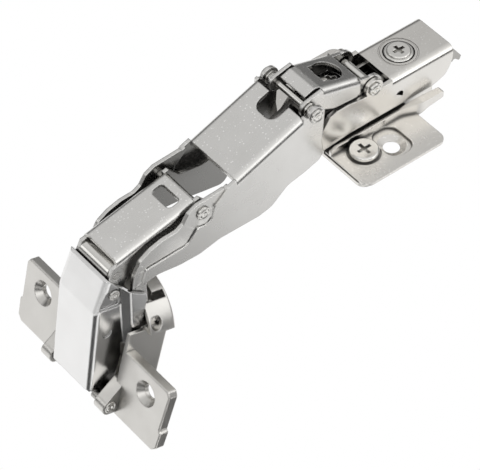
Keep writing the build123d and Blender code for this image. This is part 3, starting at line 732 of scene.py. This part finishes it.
@dataclass
class HingeMetal:
    """The hinge's pieces by finish.

    Attributes:
        plates: plates on the panel.
        arms: outer skin of the arm.
        links: folded links in satin sheet.
        smooth: polished sheet.
        turned: turned pins and screws.
        inside: pieces that lie inside others, in a darker steel as painted shade.
        cast: castings.
        caps: riveted end faces.
    """

    plates: tuple[str, ...] = ("base_plate", "adjusting_plate")
    arms: tuple[str, ...] = ("hinge_arm",)
    links: tuple[TrimmedLink, ...] = (
        TrimmedLink("outer_link", (28.5, 24.48), (52.0, 15.56), rear_trim_mm=1.3,
                    front_trim_mm=4.0),
        TrimmedLink("inner_link", (64.0, 12.78), (91.2, 6.65), rear_trim_mm=3.5,
                    front_trim_mm=1.0, finish=LESS_SHADED_SHEET, tip_drop_mm=1.9),
        TrimmedLink("control_link", (5.0, 23.15), (18.5, 27.07), rear_trim_mm=1.0,
                    front_trim_mm=2.0),
    )
    smooth: tuple[str, ...] = ("cover_link",)
    turned: tuple[str, ...] = (
        "height_cam_screw", "ear_rivet", "nose_pin", "depth_screw", "side_screw", "scissor_rivet",
        "tip_rivet", "link_rod", "rod_collars", "cup_pin", "rear_axle", "tip_sleeve")
    inside: tuple[str, ...] = ("arm_carrier", "inner_arm", "release_lever", "knuckle_pins")
    cast: tuple[str, ...] = ("hinge_cup",)
    caps: tuple[RivetCap, ...] = (
        RivetCap("link_rod", "outer_link"), RivetCap("ear_rivet", "arm"),
        RivetCap("scissor_rivet", "inner_link"), RivetCap("tip_rivet", "inner_link"),
        RivetCap("knuckle_pins", "cup", radius_mm=1.9),
    )

    def build(self, nodes: dict[str, bpy.types.Object]) -> None:
        """Dress every piece.

        Args:
            nodes: CAD objects by node name.
        """
        dress(nodes, self.plates, PLATE_SHEET.material())
        dress(nodes, self.arms, ARM_SHEET.material())
        sheets = {finish.name: finish.material() for finish in (SATIN_SHEET, LESS_SHADED_SHEET)}
        for link in self.links:
            dress(nodes, (link.node,), sheets[link.finish.name])
            link.build(nodes[link.node], sheets[link.finish.name])
        dress(nodes, self.smooth, BRIGHT_SHEET.material())
        turned = BRIGHT_STEEL.material()
        dress(nodes, self.turned, turned)
        for cap in self.caps:
            cap.build(turned)
        dress(nodes, self.inside, SHADED_STEEL.material())
        dress(nodes, self.cast, CAST_NICKEL.material())


@dataclass(frozen=True)
class Flag:
    """Glowing card below the hinge, hidden from camera rays, shadows and diffuse light, that paints
    graded reflections into the plating.

    Attributes:
        name: its name.
        low: corner with the smallest x and y, in metres.
        high: the opposite corner.
        fade: brightness of the painted reflection along its length, from low to high.
        height: how high it lies, in metres.
    """

    name: str
    low: tuple[float, float]
    high: tuple[float, float]
    fade: Ramp
    height: float = -0.15

    def build(self) -> None:
        """Lay out the card."""
        (x0, y0), (x1, y1), z = self.low, self.high, self.height
        mesh = bpy.data.meshes.new(self.name)
        mesh.from_pydata([(x0, y0, z), (x1, y0, z), (x1, y1, z), (x0, y1, z)], [], [(0, 1, 2, 3)])
        sheet = place_mesh(self.name, mesh)
        sheet.visible_camera = False
        sheet.visible_shadow = False
        sheet.visible_diffuse = False
        sheet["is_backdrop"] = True
        material = bpy.data.materials.new(self.name)
        graph = Graph.of(material)
        graph.nodes.remove(graph.nodes["Principled BSDF"])
        length = graph.along(graph.coordinates(Layout.SHARE), Axis.X)
        glow = graph.nodes.new("ShaderNodeEmission")
        graph.links.new(graph.ramp(length, self.fade), glow.inputs["Color"])
        surface = graph.nodes["Material Output"].inputs["Surface"]
        graph.links.new(glow.outputs["Emission"], surface)
        mesh.materials.append(material)


@dataclass(frozen=True)
class SoftBox:
    """Square soft box that points at the hinge.

    Attributes:
        name: its name.
        place: its centre, in metres.
        side: side of the square, in metres.
        power: watts.
    """

    name: str
    place: Place
    side: float
    power: float

    def build(self) -> None:
        """Hang up the box."""
        light = bpy.data.lights.new(self.name, "AREA")
        light.shape = "SQUARE"
        light.size = self.side
        light.energy = self.power
        lamp = bpy.data.objects.new(self.name, light)
        lamp.location = self.place
        aim = Vector(HINGE_MIDDLE) - Vector(self.place)
        lamp.rotation_euler = aim.to_track_quat("-Z", "Y").to_euler()
        bpy.context.scene.collection.objects.link(lamp)


@dataclass
class Studio:
    """White table-top studio round the hinge.

    Attributes:
        floor_drop: how far the floor lies below the lowest piece, in metres.
        floor_reach: how far the floor runs to three sides, in metres.
        floor_near: how far it runs to the near side, in metres.
        paper_level: reflectance of the floor.
        paper_roughness: roughness of the floor.
        far_sky: brightness of the surroundings on the far side, by the height of a direction.
        near_sky: the same on the near side.
        sky_seam: y of a direction between which the far side turns into the near side.
        boxes: the lamps.
        flags: glowing cards below the hinge that paint reflections into the plating.
        camera_place: where the camera stands.
        camera_target: what it looks at.
        lens_mm: focal length of its lens.
        sensor_mm: width of its sensor.
        sight: nearest and farthest distance that it sees, in metres.
    """

    floor_drop: float = 0.12
    floor_reach: float = 0.9
    floor_near: float = 0.45
    paper_level: float = 0.86
    paper_roughness: float = 0.9
    far_sky: Ramp = (
        (-1.0, 1.0), (-0.3, 1.0), (-0.2, 0.62), (0.0, 0.4), (0.15, 0.13), (0.42, 0.11),
        (0.6, 0.55), (0.8, 0.7), (1.0, 0.8))
    near_sky: Ramp = (
        (-1.0, 1.0), (-0.4, 0.9), (-0.28, 0.12), (0.2, 0.08), (0.34, 1.5), (0.62, 1.5),
        (0.76, 0.95), (1.0, 0.85))
    sky_seam: tuple[float, float] = (-0.2, 0.5)
    boxes: tuple[SoftBox, ...] = (
        SoftBox("key_box", (-0.43, 0.86, 0.30), side=0.25, power=0.5),
        SoftBox("end_box", (0.9, -0.6, 0.5), side=0.4, power=0.5),
    )
    flags: tuple[Flag, ...] = (
        Flag("side_flag", (-0.10, 0.05), (0.075, 0.17),
             ((0.0, 1.0), (0.32, 0.78), (0.43, 0.56), (0.5, 0.46), (0.64, 0.36), (0.69, 0.07),
              (1.0, 0.1))),
        Flag("end_flag", (0.17, 0.0), (0.36, 0.26), ((0.0, 0.1), (0.5, 0.05), (1.0, 0.1))),
    )
    camera_place: Place = (0.39057, 0.43370, 0.56816)
    camera_target: Place = (0.04227, 0.0, -0.02115)
    lens_mm: float = 212.55
    sensor_mm: float = 36.0
    sight: tuple[float, float] = (0.01, 20.0)

    def build(self) -> None:
        """Build floor, cards, surroundings, lamps and camera."""
        self._floor()
        for flag in self.flags:
            flag.build()
        self._world()
        for box in self.boxes:
            box.build()
        self._camera()

    def _floor(self) -> None:
        """Lay the floor, which looks plain white and lights the hinge softly."""
        low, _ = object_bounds()
        height = low[2] - self.floor_drop
        reach, near = self.floor_reach, self.floor_near
        mesh = bpy.data.meshes.new("floor")
        mesh.from_pydata([(-reach, -reach, height), (reach, -reach, height), (reach, near, height),
                          (-reach, near, height)], [], [(0, 1, 2, 3)])
        floor = place_mesh("floor", mesh)
        floor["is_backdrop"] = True
        material = bpy.data.materials.new("white_paper")
        graph = Graph.of(material)
        paper = graph.nodes["Principled BSDF"]
        paper.inputs["Base Color"].default_value = (*[self.paper_level] * 3, 1.0)
        paper.inputs["Roughness"].default_value = self.paper_roughness
        glow = graph.nodes.new("ShaderNodeEmission")
        glow.inputs["Strength"].default_value = PLAIN_GLOW
        ray = graph.nodes.new("ShaderNodeLightPath").outputs
        seen = graph.combine(Joining.LARGER, ray["Is Camera Ray"], ray["Is Glossy Ray"])
        blend = graph.nodes.new("ShaderNodeMixShader")
        graph.links.new(seen, blend.inputs["Fac"])
        graph.links.new(paper.outputs["BSDF"], blend.inputs[1])
        graph.links.new(glow.outputs["Emission"], blend.inputs[2])
        surface = graph.nodes["Material Output"].inputs["Surface"]
        graph.links.new(blend.outputs["Shader"], surface)
        mesh.materials.append(material)

    def _world(self) -> None:
        """Surroundings: white to the camera, and graded bands to all else."""
        world = bpy.data.worlds.new("studio")
        bpy.context.scene.world = world
        graph = Graph.of(world)
        direction = graph.coordinates(Layout.SHARE)
        height = graph.remap(graph.along(direction, Axis.Z), low=-1.0)
        side = graph.remap(graph.along(direction, Axis.Y), *self.sky_seam, smooth=True)
        far, near = (graph.ramp(height, tuple(((rise + 1.0) / 2.0, level) for rise, level in stops))
                     for stops in (self.far_sky, self.near_sky))
        sky = graph.mix(side, far, near)
        camera_ray = graph.nodes.new("ShaderNodeLightPath").outputs["Is Camera Ray"]
        back = graph.nodes["Background"]
        graph.links.new(graph.mix(camera_ray, sky, WHITE), back.inputs["Color"])
        back.inputs["Strength"].default_value = PLAIN_GLOW

    def _camera(self) -> None:
        """Set up a long lens at the near upper corner."""
        data = bpy.data.cameras.new("camera")
        data.lens = self.lens_mm
        data.sensor_fit = "HORIZONTAL"
        data.sensor_width = self.sensor_mm
        data.clip_start, data.clip_end = self.sight
        camera = bpy.data.objects.new("camera", data)
        camera.location = self.camera_place
        aim = Vector(self.camera_target) - Vector(self.camera_place)
        camera.rotation_euler = aim.to_track_quat("-Z", "Y").to_euler()
        bpy.context.scene.collection.objects.link(camera)
        bpy.context.scene.camera = camera


def main() -> None:
    """Dress the hinge and set up the studio."""
    logging.basicConfig(level=logging.INFO, format="%(message)s")
    bpy.context.scene.view_settings.view_transform = "Standard"
    HingeMetal().build(frame["nodes"])
    Studio().build()


if __name__ == "__main__":
    main()
